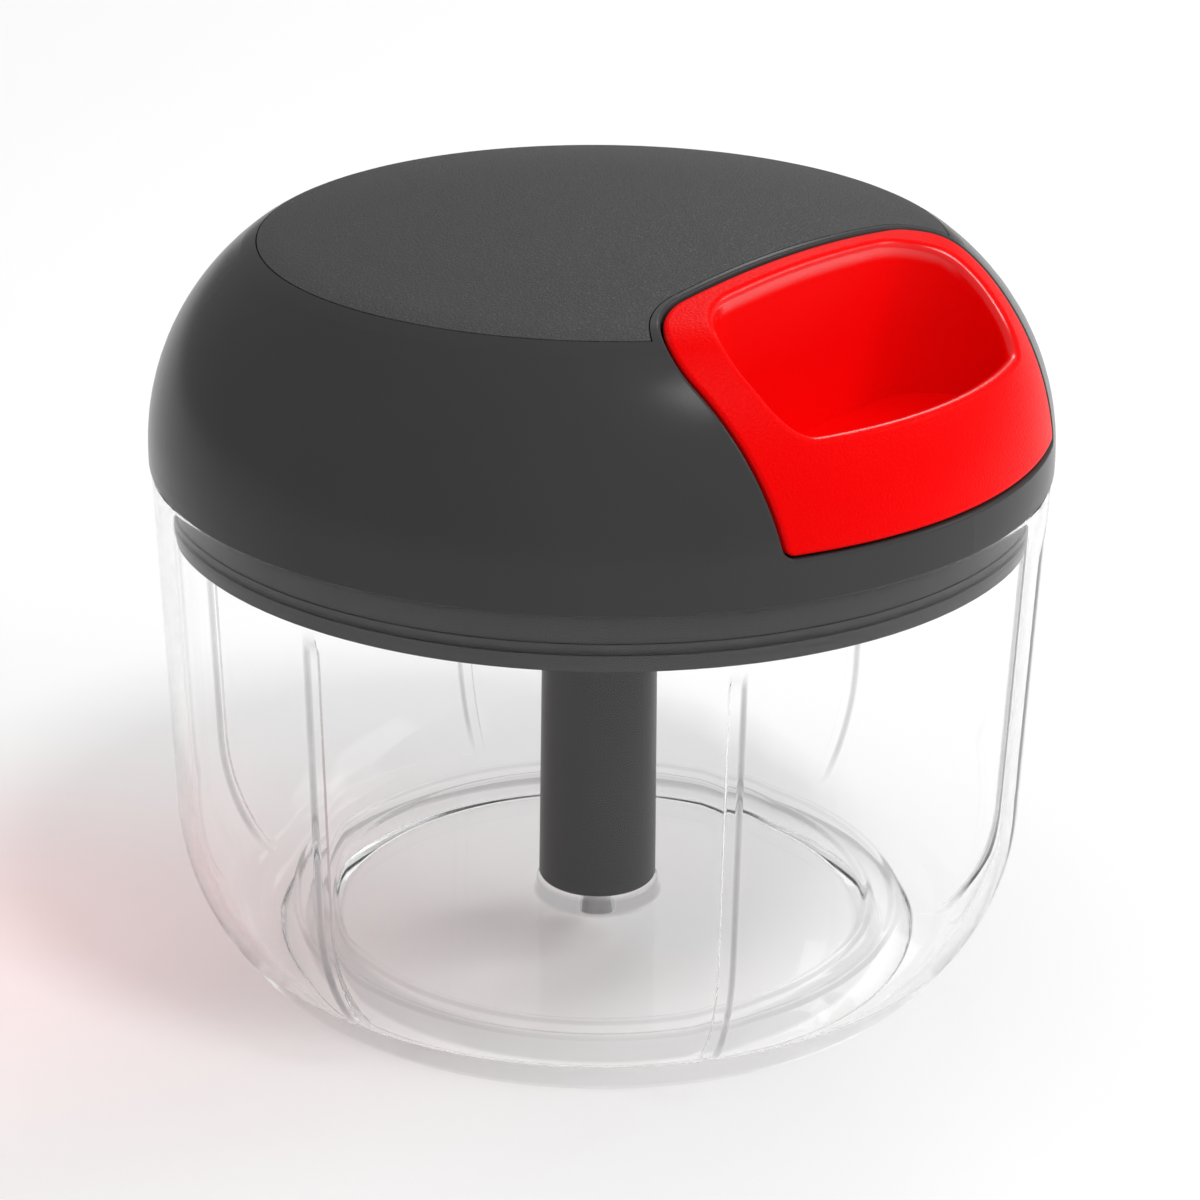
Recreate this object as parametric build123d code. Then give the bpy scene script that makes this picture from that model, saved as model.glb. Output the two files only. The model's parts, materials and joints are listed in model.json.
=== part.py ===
"""Pull-cord food chopper: a clear bowl, a domed lid with a pull handle, and the reel drive inside the lid.

Millimetres. +Z is up, the origin is the centre of the bowl's foot on the table,
and the handle is pulled out along +X. Each function builds one piece as a closed solid.
"""
import os
from math import acos, asin, cos, degrees, pi, radians, sin, tan

from build123d import *

# Overall form
LID_RADIUS = 70.0
BOWL_HEIGHT = 84.4
SEAT_GAP = 0.1
FIT_GAP = 0.05
RUN_GAP = 0.05
END_GAP = 0.5

# Domed lid cover: rim, shoulder arc, edge arc, then a shallow crown
RIM_HEIGHT = 2.1
SHOULDER_RADIUS = 38.0
SHOULDER_TURN = 52.8
EDGE_RADIUS = 15.7
EDGE_TURN = 76.8
COVER_WALL = 2.4
COVER_FOOT_EDGE = 0.5

# Soft panel let into the crown
PANEL_MARGIN = 17.3
PANEL_DEPTH = 1.2
PANEL_GAP = 0.2
PANEL_LIP = 0.9

# Bay in the dome that the handle slides out of
BAY_BACK = 34.7
BAY_RISE = 6.6
BAY_HALF_WIDTH = 32.6
BAY_FLARE = 7.0
BAY_CORNER = 12.0
BAY_FLOOR_CORNER = 1.8
BAY_WALL = 2.0
BAY_EDGE = 0.5
HANDLE_GAP = 0.35

# Finger pocket in the handle
POCKET_BACK_WALL = 1.95
POCKET_RISE = 5.9
POCKET_HEIGHT = 35.0
POCKET_SIDE_WALL = 5.4
POCKET_NARROWING = 2.0
POCKET_FRONT_WALL = 8.3
POCKET_DRAFT = 5.0
POCKET_BACK_CORNER = 9.0
POCKET_FRONT_CORNER = 6.0
BACK_CORNER_SHARE = 0.59
FRONT_CORNER_SHARE = 0.395
POCKET_RIM = 1.4
HANDLE_EDGE = 0.8

# Handle back plate, its screws and the cord's anchor
BACK_PLATE_WIDTH = 32.0
BACK_PLATE_HEIGHT = 11.0
BACK_PLATE_THICKNESS = 1.6
BACK_PLATE_CORNER = 3.0
ANCHOR_RADIUS = 3.0
ANCHOR_LENGTH = 1.6
HANDLE_SCREW_SPACING = 22.0
HANDLE_SCREW_DEPTH = 2.6
HANDLE_SCREW_SINK = 0.15
RECESS_GAP = 0.2

# Bowl
BOWL_INSET = 0.3
BOWL_WALL = 2.4
BOWL_DRAFT = 1.87
BOWL_CORNER = 36.0
BOWL_CORNER_HEIGHT = 28.7
BOWL_FOOT_CORNER = 7.1
BOWL_FLOOR_CORNER = 4.25
FLOOR_TOP = 7.2
FOOT_INSET = 0.9
FOOT_HEIGHT = 1.6
FOOT_WIDTH = 5.0
FOOT_SLOPE = 2.1
FLOOR_UNDERSIDE = 2.6
RIM_ROUNDING = 0.6
BOSS_RADIUS = 10.0
BOSS_HEIGHT = 2.9
BOSS_EDGE = 0.8
RIB_WIDTH = 2.8
RIB_DEPTH = 1.5
RIB_ROOT = 0.8
RIB_TOP_ROUNDING = 1.4
RIB_CLEARANCE = 1.1
RIB_EDGE = 0.8
RIB_FLOOR_CORNER = 2.8
RIB_PAIRS = 3
RIB_SPREAD = 54.6

# Drive column on its pin
PIN_RADIUS = 2.5
PIN_COVER = 1.0
PIN_LENGTH = 26.0
PIN_HEADROOM = 1.0
PIN_EDGE = 0.6
COLUMN_FOOT_RADIUS = 9.55
COLUMN_TOP_RADIUS = 9.05
COLUMN_GAP = 0.2
COLUMN_EDGE = 0.6
COLUMN_HEADROOM = 1.0
BUSH_WALL = 2.0
BUSH_LENGTH = 18.0

# Lid base: skirt inside the bowl's mouth, plate and drive housing
SKIRT_DROP = 9.4
SKIRT_GAP = 0.55
SKIRT_WALL = 3.0
SKIRT_RISE = 3.5
PLATE_HEIGHT = 2.9
PLATE_THICKNESS = 2.5
HOUSING_DROP = 3.6
HOUSING_WALL = 2.5
SEAL_LIFT = 1.6
SEAL_HEIGHT = 2.6
SEAL_DEPTH = 1.6
SEAL_PROUD = 0.25
SEAL_LIP = 0.8

# Reel, spring and bridge
ARBOR_RADIUS = 6.5
DRIVE_BUSH_WALL = 1.9
BUSH_FLANGE = 0.8
BUSH_FLANGE_REACH = 2.0
SHAFT_SEAL_HEIGHT = 1.6
SHAFT_SEAL_GAP = 0.3
SPRING_WIDTH = 4.5
SPRING_THICKNESS = 0.4
SPRING_TURNS = 7
SPRING_GAP = 0.3
BARREL_RADIUS = 23.2
BARREL_WALL = 2.0
SPRING_COVER_THICKNESS = 1.2
SPRING_COVER_LIP = 0.6
WASHER_THICKNESS = 0.8
WASHER_WIDTH = 5.0
REEL_GAP = 0.2
DRUM_RADIUS = 18.0
FLANGE_RADIUS = 24.5
FLANGE_THICKNESS = 1.6
DRUM_WALL = 2.5
JOURNAL_RADIUS = 4.5
JOURNAL_LENGTH = 8.0
BRIDGE_GAP = 1.5
BRIDGE_THICKNESS = 2.5
BRIDGE_ARM_WIDTH = 9.0
BRIDGE_BOSS_RADIUS = 8.0
BRIDGE_BOSS_HEIGHT = 4.5
POST_RADIUS = 4.0
BRIDGE_POST_CIRCLE = 33.0
BRIDGE_POST_ANGLES = (75.0, 180.0, 285.0)
CLIP_THICKNESS = 0.8
CLIP_WIDTH = 2.6
CLIP_GROOVE = 0.6
CLIP_MOUTH = 5.0

# Hexagonal drive dog
DOG_ACROSS_FLATS = 9.0
DOG_LENGTH = 12.7
DOG_COLLAR = 2.0
DOG_GAP = 0.3
DOG_FOOT_ROOM = 1.0

# Cord
CORD_RADIUS = 1.0
CORD_TURN_GAP = 0.5
CORD_LAY_GAP = 0.1
CORD_TURNS = 4
CORD_GUIDE_STANDOFF = 3.2
CORD_BORE_GAP = 0.5
CORD_BEND_SHARE = 0.45
EYELET_WALL = 1.1
EYELET_FLANGE = 1.4
EYELET_FLANGE_THICKNESS = 1.2

# Screws
SCREW_RADIUS = 1.5
SCREW_HEAD_RADIUS = 2.8
SCREW_HEAD_HEIGHT = 2.0
SCREW_HEAD_GAP = 0.3
SCREW_LENGTH = 12.0
SCREW_SLOT = 0.8
SCREW_HEAD_EDGE = 0.4
SMALL_SCREW_RADIUS = 1.0
SMALL_SCREW_HEAD_RADIUS = 2.0
SMALL_SCREW_HEAD_HEIGHT = 1.2
LID_PAD_RISE = 2.5
LID_PAD_RADIUS = 5.0
LID_SCREW_INSET = 9.95
LID_SCREW_ANGLES = (80.0, 145.0, 215.0, 280.0)

# Heights that follow from the sizes above
SEAM = BOWL_HEIGHT + SEAT_GAP
BAY_FLOOR = SEAM + BAY_RISE
SKIRT_FOOT = SEAM - SKIRT_DROP
PLATE_FOOT = SKIRT_FOOT + PLATE_HEIGHT
PLATE_TOP = PLATE_FOOT + PLATE_THICKNESS
HOUSING_FOOT = PLATE_FOOT - HOUSING_DROP
BOSS_TOP = FLOOR_TOP + BOSS_HEIGHT
PIN_FOOT = FLOOR_UNDERSIDE + PIN_COVER
COLUMN_FOOT = BOSS_TOP + COLUMN_GAP
COLUMN_TOP = HOUSING_FOOT - COLUMN_HEADROOM
SHAFT_SEAL_FOOT = HOUSING_FOOT + END_GAP
DRIVE_BUSH_FOOT = SHAFT_SEAL_FOOT + SHAFT_SEAL_HEIGHT
DRIVE_BUSH_TOP = PLATE_TOP + BUSH_FLANGE
ARBOR_FOOT = DRIVE_BUSH_FOOT + END_GAP
SPRING_FOOT = DRIVE_BUSH_TOP + END_GAP
BARREL_TOP = SPRING_FOOT + SPRING_WIDTH + SPRING_COVER_LIP + END_GAP
SPRING_COVER_TOP = BARREL_TOP + SPRING_COVER_THICKNESS
WASHER_TOP = SPRING_COVER_TOP + WASHER_THICKNESS
REEL_FOOT = WASHER_TOP + REEL_GAP
DRUM_FOOT = REEL_FOOT + FLANGE_THICKNESS
CORD_PITCH = 2 * CORD_RADIUS + CORD_TURN_GAP
CORD_HEIGHT = DRUM_FOOT + CORD_LAY_GAP + CORD_RADIUS + CORD_TURNS * CORD_PITCH
DRUM_TOP = CORD_HEIGHT + CORD_RADIUS + CORD_TURN_GAP
REEL_TOP = DRUM_TOP + FLANGE_THICKNESS
BRIDGE_FOOT = REEL_TOP + BRIDGE_GAP
BRIDGE_TOP = BRIDGE_FOOT + BRIDGE_THICKNESS
JOURNAL_TOP = REEL_TOP + JOURNAL_LENGTH
DOG_TOP = ARBOR_FOOT
DOG_HEX_TOP = DOG_TOP - DOG_COLLAR
DOG_FOOT = DOG_HEX_TOP - DOG_LENGTH
LID_PAD_TOP = PLATE_TOP + LID_PAD_RISE

# Radii that follow
PANEL_RADIUS = LID_RADIUS - PANEL_MARGIN
DRAFT_SLOPE = tan(radians(BOWL_DRAFT))
BOWL_RIM_RADIUS = LID_RADIUS - BOWL_INSET
MOUTH_RADIUS = BOWL_RIM_RADIUS - BOWL_WALL / cos(radians(BOWL_DRAFT))
SKIRT_RADIUS = MOUTH_RADIUS - (BOWL_HEIGHT - SKIRT_FOOT) * DRAFT_SLOPE - SKIRT_GAP
LID_SCREW_CIRCLE = SKIRT_RADIUS - LID_SCREW_INSET
HOUSING_BORE = ARBOR_RADIUS + RUN_GAP + DRIVE_BUSH_WALL + FIT_GAP
BUSH_RADIUS = PIN_RADIUS + RUN_GAP + BUSH_WALL
WINDING_RADIUS = DRUM_RADIUS + CORD_RADIUS + CORD_LAY_GAP
CORD_GUIDE = BAY_BACK - BAY_WALL - CORD_GUIDE_STANDOFF
CORD_BORE = CORD_RADIUS + CORD_BORE_GAP
CORD_LEAVES = -degrees(acos(WINDING_RADIUS / CORD_GUIDE))
HANDLE_BACK_FACE = BAY_BACK + HANDLE_GAP
BACK_PLATE_FACE = HANDLE_BACK_FACE + BACK_PLATE_THICKNESS
RECESS_FLOOR = BACK_PLATE_FACE + ANCHOR_LENGTH + 2 * RECESS_GAP

# Length that reaches past the whole lid, for cutting tools
REACH = 2 * LID_RADIUS


def polar(radius, angle, z=0.0):
    """Point at a radius and an angle in degrees about the column's axis."""
    return Vector(radius * cos(radians(angle)), radius * sin(radians(angle)), z)


def turned(section):
    """Solid of revolution about the column's axis of a half section drawn as (radius, height)."""
    return revolve(Plane.XZ * section, Axis.Z)


def ring(inner, outer, foot, top):
    """Plain round tube between two heights; an inner radius of zero gives a disc."""
    face = Circle(outer) if inner == 0 else Circle(outer) - Circle(inner)
    return extrude(Pos(0, 0, foot) * face, top - foot)


def hexagon(across_flats, foot, top):
    """Hexagonal bar between two heights."""
    face = RegularPolygon(across_flats / 2, 6, major_radius=False)
    return extrude(Pos(0, 0, foot) * face, top - foot)


def screw(radius, head_radius, head_height, length):
    """Slotted screw, head down: the head's seat is at z = 0 and the shank points up."""
    head = Pos(0, 0, -head_height / 2) * Cylinder(head_radius, head_height)
    head = fillet(head.edges().group_by(Axis.Z)[0], SCREW_HEAD_EDGE)
    slot = Pos(0, 0, -head_height) * Box(REACH, SCREW_SLOT, head_height)
    shank = ring(0, radius, 0, length)
    return head - slot + shank


def dome(inset):
    """The lid's domed form, drawn in from its outside by a constant thickness."""
    wall = LID_RADIUS - inset
    shoulder = (LID_RADIUS - SHOULDER_RADIUS, SEAM + RIM_HEIGHT)
    reach = SHOULDER_RADIUS - EDGE_RADIUS
    edge = (
        shoulder[0] + reach * cos(radians(SHOULDER_TURN)),
        shoulder[1] + reach * sin(radians(SHOULDER_TURN)),
    )
    crown_radius = edge[0] / cos(radians(EDGE_TURN)) + EDGE_RADIUS
    crown = (0, edge[1] - (crown_radius - EDGE_RADIUS) * sin(radians(EDGE_TURN)))
    top = (0, crown[1] + crown_radius - inset)
    outline = [
        Line((0, SEAM), (wall, SEAM)),
        Line((wall, SEAM), (wall, SEAM + RIM_HEIGHT)),
        CenterArc(shoulder, SHOULDER_RADIUS - inset, 0, SHOULDER_TURN),
        CenterArc(edge, EDGE_RADIUS - inset, SHOULDER_TURN, EDGE_TURN - SHOULDER_TURN),
        CenterArc(crown, crown_radius - inset, EDGE_TURN, 90 - EDGE_TURN),
        Line(top, (0, SEAM)),
    ]
    return turned(make_face(outline))


def bay(grow):
    """The handle's bay, open in front and above, with every wall moved out by one distance."""
    foot = BAY_FLOOR - grow
    top = BAY_FLOOR + REACH
    slope = tan(radians(BAY_FLARE))
    half = BAY_HALF_WIDTH + grow / cos(radians(BAY_FLARE)) - grow * slope
    half_top = half + (top - foot) * slope
    back = BAY_BACK - grow
    corners = [(-half, foot), (half, foot), (half_top, top), (-half_top, top)]
    section = make_face(Polyline(corners, close=True))
    block = extrude(Plane(origin=(back, 0, 0), x_dir=(0, 1, 0), z_dir=(1, 0, 0)) * section, REACH)
    back_face = block.faces().sort_by(Axis.X)[0]
    uprights = back_face.edges().filter_by(Axis.Y, reverse=True)
    block = fillet(uprights, BAY_CORNER + grow)
    floor = block.faces().sort_by(Axis.Z)[0]
    front = block.faces().sort_by(Axis.X)[-1]
    lower = [edge for edge in floor.edges() if edge.center().X < front.center().X - FIT_GAP]
    return fillet(lower, BAY_FLOOR_CORNER + grow)


def on_dome(edge):
    """True for an edge of the bay's mouth, which lies on the dome and not inside the lid."""
    return edge.center().X > BAY_BACK - FIT_GAP


def panel_outline(gap):
    """Plan of the soft panel: a disc, less the bay and the lip left along the handle's back."""
    disc = Circle(PANEL_RADIUS - gap)
    lip = PANEL_LIP + gap
    slope = tan(radians(BAY_FLARE))
    half = BAY_HALF_WIDTH + PANEL_LIP + (dome(0).bounding_box().max.Z - BAY_FLOOR) * slope + gap
    notch = Pos(BAY_BACK - lip + REACH / 2, 0) * Rectangle(REACH, 2 * half)
    notch = fillet(notch.vertices().group_by(Axis.X)[0], BAY_CORNER + lip)
    return disc - notch


def panel_form(depth, gap):
    """The layer of the dome that the soft panel takes up."""
    layer = dome(0) - dome(depth)
    return layer & extrude(Pos(0, 0, SEAM) * panel_outline(gap), REACH)


def pocket():
    """The finger pocket: a rounded trapezium that opens upwards with draft."""
    back = RECESS_FLOOR + POCKET_BACK_WALL
    half = BAY_HALF_WIDTH - POCKET_SIDE_WALL
    front_half = half - POCKET_NARROWING
    front = LID_RADIUS - POCKET_FRONT_WALL
    corners = [(back, -half), (LID_RADIUS, -front_half), (LID_RADIUS, front_half), (back, half)]
    plan = make_face(Polyline(corners, close=True))
    plan = plan & Circle(front)
    side = plan.edges().filter_by(GeomType.LINE).sort_by(SortBy.LENGTH)[0].length
    back_corner = min(POCKET_BACK_CORNER, BACK_CORNER_SHARE * side)
    front_corner = min(POCKET_FRONT_CORNER, FRONT_CORNER_SHARE * side)
    plan = fillet(plan.vertices().group_by(Axis.X)[0], back_corner)
    plan = fillet(plan.vertices().group_by(Axis.X)[-1], front_corner)
    return extrude(Pos(0, 0, BAY_FLOOR + POCKET_RISE) * plan, POCKET_HEIGHT, taper=-POCKET_DRAFT)


def back_recess(grow, depth):
    """Rounded rectangular block sunk into the handle's back, where its plate and the cord's end sit."""
    frame = Plane(origin=(HANDLE_BACK_FACE, 0, CORD_HEIGHT), x_dir=(0, 1, 0), z_dir=(1, 0, 0))
    face = RectangleRounded(
        BACK_PLATE_WIDTH + 2 * grow, BACK_PLATE_HEIGHT + 2 * grow, BACK_PLATE_CORNER + grow
    )
    return extrude(frame * face, depth)


def along_x(solid, x, y=0.0):
    """Turn a solid that points up +Z to point along +X, at the cord's height."""
    return Pos(x, y, CORD_HEIGHT) * Rot(0, 90, 0) * solid


def handle_screw_places():
    """Lateral places of the two handle screws."""
    return (-HANDLE_SCREW_SPACING / 2, HANDLE_SCREW_SPACING / 2)


def handle_shell():
    """The pull handle: the piece of the dome that fills the bay, with its finger pocket."""
    form = dome(0)
    block = bay(-HANDLE_GAP)
    blank = form & block
    blank = fillet(new_edges(form, block, combined=blank), HANDLE_EDGE)
    hollow = pocket()
    shell = blank - hollow
    shell = fillet(new_edges(blank, hollow, combined=shell), POCKET_RIM)
    shell -= back_recess(RECESS_GAP, BACK_PLATE_THICKNESS)
    anchor_room = ring(0, ANCHOR_RADIUS + RECESS_GAP, 0, RECESS_FLOOR - BACK_PLATE_FACE)
    shell -= along_x(anchor_room, BACK_PLATE_FACE)
    for y in handle_screw_places():
        shell -= along_x(ring(0, SMALL_SCREW_RADIUS + FIT_GAP, 0, HANDLE_SCREW_DEPTH), BACK_PLATE_FACE, y)
    return shell


def handle_back():
    """Plate that closes the handle's back and holds the cord's anchor."""
    plate = back_recess(0, BACK_PLATE_THICKNESS)
    plate -= along_x(ring(0, CORD_BORE, -FIT_GAP, REACH), HANDLE_BACK_FACE)
    for y in handle_screw_places():
        head_room = SMALL_SCREW_HEAD_HEIGHT + HANDLE_SCREW_SINK
        plate -= along_x(ring(0, SMALL_SCREW_HEAD_RADIUS + RECESS_GAP, 0, head_room), HANDLE_BACK_FACE, y)
        plate -= along_x(ring(0, SMALL_SCREW_RADIUS + FIT_GAP, 0, REACH), HANDLE_BACK_FACE, y)
    return plate


def handle_screws():
    """Two small screws that hold the back plate."""
    seat = HANDLE_BACK_FACE + SMALL_SCREW_HEAD_HEIGHT + HANDLE_SCREW_SINK
    length = BACK_PLATE_FACE - seat + HANDLE_SCREW_DEPTH - SCREW_HEAD_GAP
    one = screw(SMALL_SCREW_RADIUS, SMALL_SCREW_HEAD_RADIUS, SMALL_SCREW_HEAD_HEIGHT, length)
    return [along_x(one, seat, y) for y in handle_screw_places()]


def cord_anchor():
    """Crimped ferrule on the cord's end, trapped behind the back plate."""
    body = ring(CORD_RADIUS + FIT_GAP, ANCHOR_RADIUS, 0, ANCHOR_LENGTH)
    return along_x(body, BACK_PLATE_FACE + RECESS_GAP)


def lid_cover():
    """The domed shell with the bay's walls, the panel's seat and the posts for the lid screws."""
    form = dome(0)
    shell = form - dome(COVER_WALL)
    foot = shell.edges().group_by(Axis.Z)[0].sort_by(SortBy.RADIUS)[-1]
    shell = fillet(foot, COVER_FOOT_EDGE)
    shell += bay(BAY_WALL) & form
    opening = bay(0)
    cut = shell - opening
    cut = fillet(new_edges(shell, opening, combined=cut).filter_by(on_dome), BAY_EDGE)
    post = ring(0, POST_RADIUS, LID_PAD_TOP, LID_PAD_TOP + REACH)
    pilot = ring(0, SCREW_RADIUS + FIT_GAP, LID_PAD_TOP, LID_PAD_TOP + SCREW_LENGTH)
    inside = ring(0, LID_RADIUS - COVER_WALL, LID_PAD_TOP, SEAM) + dome(COVER_WALL / 2)
    for angle in LID_SCREW_ANGLES:
        place = Pos(polar(LID_SCREW_CIRCLE, angle))
        cut += place * post & inside
        cut -= place * pilot
    cut -= panel_form(PANEL_DEPTH, 0)
    return cut - along_x(ring(0, CORD_BORE + EYELET_WALL, 0, REACH), 0)


def top_panel():
    """Soft-touch panel let into the crown."""
    return panel_form(PANEL_DEPTH - FIT_GAP, PANEL_GAP)


def bowl_corner_centre():
    """Radius from the axis of the centre of the bowl's big lower corner."""
    drop = (BOWL_CORNER_HEIGHT - BOWL_HEIGHT) * sin(radians(BOWL_DRAFT))
    return BOWL_RIM_RADIUS + (drop - BOWL_CORNER) / cos(radians(BOWL_DRAFT))


def bowl_line(inset, corner, floor):
    """The bowl's wall from rim to floor, with a small corner there, drawn in by a thickness, and its ends."""
    centre = (bowl_corner_centre(), BOWL_CORNER_HEIGHT)
    radius = BOWL_CORNER - inset
    rim = (BOWL_RIM_RADIUS - inset / cos(radians(BOWL_DRAFT)), BOWL_HEIGHT)
    wall_foot = (
        centre[0] + radius * cos(radians(BOWL_DRAFT)),
        centre[1] - radius * sin(radians(BOWL_DRAFT)),
    )
    reach = radius - corner
    turn = degrees(asin((centre[1] - floor - corner) / reach))
    corner_centre = (centre[0] + reach * cos(radians(turn)), floor + corner)
    edges = [
        Line(rim, wall_foot),
        CenterArc(centre, radius, -BOWL_DRAFT, BOWL_DRAFT - turn),
        CenterArc(corner_centre, corner, -turn, turn - 90),
    ]
    return edges, rim, (corner_centre[0], floor)


def on_rib_crest(edge):
    """True for an edge along a rib's inner side, more than half the rib's depth from the bowl's wall."""
    point = edge.center()
    if point.Z > BOWL_CORNER_HEIGHT:
        depth = MOUTH_RADIUS - (BOWL_HEIGHT - point.Z) * DRAFT_SLOPE - point.X
    else:
        reach = Vector(point.X - bowl_corner_centre(), point.Z - BOWL_CORNER_HEIGHT).length
        depth = BOWL_CORNER - BOWL_WALL - reach
    return point.Z > FLOOR_TOP and depth > RIB_DEPTH / 2


def bowl_rib():
    """One upright rib on the inside of the wall, with a rounded crest and a rounded top."""
    outer, outer_top, outer_foot = bowl_line(BOWL_WALL - RIB_ROOT, BOWL_FLOOR_CORNER, FLOOR_TOP - RIB_ROOT)
    inner, inner_top, inner_foot = bowl_line(BOWL_WALL + RIB_DEPTH, RIB_FLOOR_CORNER, FLOOR_TOP)
    closing = [Line(inner_top, outer_top), Line(inner_foot, outer_foot)]
    face = make_face(outer + inner + closing)
    top = SKIRT_FOOT - RIB_CLEARANCE
    face &= Pos(LID_RADIUS, top / 2) * Rectangle(2 * LID_RADIUS, top)
    upper_inner = face.vertices().group_by(Axis.Y)[-1].sort_by(Axis.X)[0]
    face = fillet(upper_inner, RIB_TOP_ROUNDING)
    rib = extrude(Plane.XZ * face, RIB_WIDTH / 2, both=True)
    flanks = rib.faces().filter_by(Axis.Y).edges()
    return fillet(flanks.filter_by(on_rib_crest), RIB_EDGE)


def bowl():
    """Clear bowl with its ribs, foot ring and the boss that holds the column's pin."""
    outer, outer_rim, outer_foot = bowl_line(0, BOWL_FOOT_CORNER, FOOT_HEIGHT)
    inner, inner_rim, inner_foot = bowl_line(BOWL_WALL, BOWL_FLOOR_CORNER, FLOOR_TOP)
    foot = outer_foot[0] - FOOT_INSET
    under = Polyline(
        outer_foot,
        (foot, FOOT_HEIGHT),
        (foot, 0),
        (foot - FOOT_WIDTH, 0),
        (foot - FOOT_WIDTH - FOOT_SLOPE, FLOOR_UNDERSIDE),
        (0, FLOOR_UNDERSIDE),
        (0, FLOOR_TOP),
        inner_foot,
    )
    section = make_face(outer + inner + [Line(inner_rim, outer_rim)] + list(under.edges()))
    rim = [point for point in section.vertices() if point.Y > BOWL_HEIGHT - FIT_GAP]
    section = fillet(rim, RIM_ROUNDING)
    body = turned(section)
    boss = ring(0, BOSS_RADIUS, FLOOR_TOP - FIT_GAP, BOSS_TOP)
    boss = fillet(boss.edges().group_by(Axis.Z)[-1], BOSS_EDGE)
    body += boss
    rib = bowl_rib()
    for pair in range(RIB_PAIRS):
        for side in (-RIB_SPREAD / 2, RIB_SPREAD / 2):
            body += Rot(0, 0, 180 + pair * 360 / RIB_PAIRS + side) * rib
    return body - ring(0, PIN_RADIUS + FIT_GAP, PIN_FOOT, BOSS_TOP)


def pivot_pin():
    """Steel pin that stands in the bowl's boss and carries the column."""
    pin = ring(0, PIN_RADIUS, PIN_FOOT, PIN_FOOT + PIN_LENGTH)
    return chamfer(pin.edges().group_by(Axis.Z)[-1], PIN_EDGE)


def drive_column():
    """Tapered column with a bore for its bush and pin below and a hexagonal socket above."""
    outline = Polyline(
        (0, COLUMN_FOOT),
        (COLUMN_FOOT_RADIUS, COLUMN_FOOT),
        (COLUMN_TOP_RADIUS, COLUMN_TOP),
        (0, COLUMN_TOP),
        close=True,
    )
    section = make_face(outline)
    corners = [point for point in section.vertices() if point.X > COLUMN_TOP_RADIUS / 2]
    body = turned(fillet(corners, COLUMN_EDGE))
    body -= ring(0, BUSH_RADIUS + FIT_GAP, COLUMN_FOOT, COLUMN_FOOT + BUSH_LENGTH)
    body -= ring(0, PIN_RADIUS + DOG_GAP, COLUMN_FOOT, PIN_FOOT + PIN_LENGTH + PIN_HEADROOM)
    return body - hexagon(DOG_ACROSS_FLATS + 2 * DOG_GAP, DOG_FOOT - DOG_FOOT_ROOM, COLUMN_TOP)


def column_bush():
    """Bearing bush pressed into the column's foot."""
    return ring(PIN_RADIUS + RUN_GAP, BUSH_RADIUS, COLUMN_FOOT, COLUMN_FOOT + BUSH_LENGTH)


def lid_base():
    """Underside of the lid: skirt, plate, drive housing, spring barrel, bridge posts and screw pads."""
    body = ring(SKIRT_RADIUS - SKIRT_WALL, SKIRT_RADIUS, SKIRT_FOOT, SEAM + SKIRT_RISE)
    body += ring(HOUSING_BORE, SKIRT_RADIUS - SKIRT_WALL / 2, PLATE_FOOT, PLATE_TOP)
    body += ring(HOUSING_BORE, HOUSING_BORE + HOUSING_WALL, HOUSING_FOOT, PLATE_TOP)
    body += ring(BARREL_RADIUS, BARREL_RADIUS + BARREL_WALL, PLATE_TOP, BARREL_TOP)
    for angle in BRIDGE_POST_ANGLES:
        post = ring(SCREW_RADIUS + FIT_GAP, POST_RADIUS, PLATE_TOP - FIT_GAP, BRIDGE_FOOT)
        body += Pos(polar(BRIDGE_POST_CIRCLE, angle)) * post
    for angle in LID_SCREW_ANGLES:
        place = Pos(polar(LID_SCREW_CIRCLE, angle))
        body += place * ring(0, LID_PAD_RADIUS, PLATE_FOOT, LID_PAD_TOP)
        head_top = PLATE_FOOT + SCREW_HEAD_HEIGHT + SCREW_HEAD_GAP
        body -= place * ring(0, SCREW_HEAD_RADIUS + SCREW_HEAD_GAP, PLATE_FOOT, head_top)
        body -= place * ring(0, SCREW_RADIUS + FIT_GAP, PLATE_FOOT, LID_PAD_TOP)
    groove_foot = SKIRT_FOOT + SEAL_LIFT
    groove = ring(SKIRT_RADIUS - SEAL_DEPTH, SKIRT_RADIUS + FIT_GAP, groove_foot, groove_foot + SEAL_HEIGHT)
    return body - groove


def lid_seal():
    """Silicone ring in the skirt's groove, with two lips towards the bowl."""
    foot = SKIRT_FOOT + SEAL_LIFT + FIT_GAP
    top = foot + SEAL_HEIGHT - 2 * FIT_GAP
    back = SKIRT_RADIUS - SEAL_DEPTH + FIT_GAP
    face = SKIRT_RADIUS
    tip = SKIRT_RADIUS + SEAL_PROUD
    outline = Polyline(
        (back, foot),
        (tip, foot),
        (tip, foot + SEAL_LIP),
        (face - SEAL_PROUD, foot + SEAL_LIP),
        (face - SEAL_PROUD, top - SEAL_LIP),
        (tip, top - SEAL_LIP),
        (tip, top),
        (back, top),
        close=True,
    )
    return turned(make_face(outline))


def lid_screws():
    """Screws from the lid's underside into the cover's posts."""
    seat = PLATE_FOOT + SCREW_HEAD_HEIGHT + SCREW_HEAD_GAP
    length = LID_PAD_TOP - seat + SCREW_LENGTH - SCREW_HEAD_GAP
    one = screw(SCREW_RADIUS, SCREW_HEAD_RADIUS, SCREW_HEAD_HEIGHT, length)
    return [Pos(polar(LID_SCREW_CIRCLE, angle, seat)) * one for angle in LID_SCREW_ANGLES]


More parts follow.
